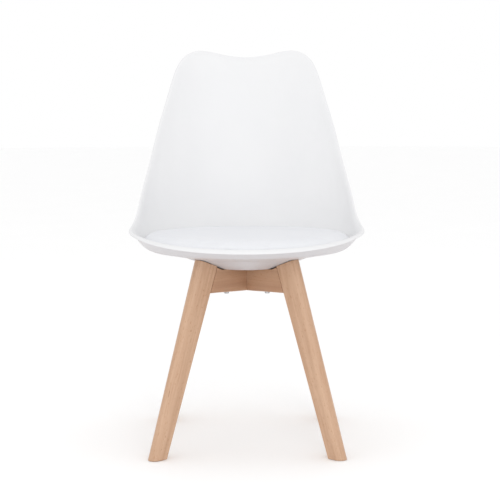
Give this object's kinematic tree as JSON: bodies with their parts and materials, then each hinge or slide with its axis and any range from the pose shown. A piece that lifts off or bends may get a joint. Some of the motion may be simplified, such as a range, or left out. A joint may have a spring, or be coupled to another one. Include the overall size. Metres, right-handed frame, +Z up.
{
  "type": "dining chair",
  "caption": "Dining chair with a one-piece moulded bucket shell and low winged backrest, a padded seat, and splayed timber legs on a crossed rail frame.",
  "frame": {"origin": "on the floor, under the middle of the chair's overall width and depth", "axes": "+Z up, the chair faces -Y, X runs across the seat with -X on the left of a viewer in front"},
  "size_m": [0.4903, 0.5065, 0.8157],
  "materials": {
    "shell": "moulded satin polypropylene, white",
    "board": "raw poplar plywood",
    "foam": "open-cell polyurethane foam, cream",
    "cover": "smooth white coated leathercloth, soft sheen",
    "beech": "beech, clear matt lacquer",
    "dowel": "raw fluted beech",
    "steel": "zinc plated",
    "insert": "turned brass",
    "glide": "dark grey polyethylene"
  },
  "bodies": {
    "root": {"seat_shell": "shell", "cushion_board": "board", "cushion_foam": "foam", "cushion_cover": "cover", "cushion_screws": "steel", "leg_rear_right": "beech", "leg_rear_left": "beech", "leg_front_left": "beech", "leg_front_right": "beech", "cross_rail_lower": "beech", "cross_rail_upper": "beech", "dowels": "dowel", "frame_bolts": "steel", "flat_washers": "steel", "spring_washers": "steel", "threaded_inserts": "insert", "glide_front_left": "glide", "glide_front_right": "glide", "glide_rear_left": "glide", "glide_rear_right": "glide", "glide_nails": "steel"}
  },
  "joints": []
}
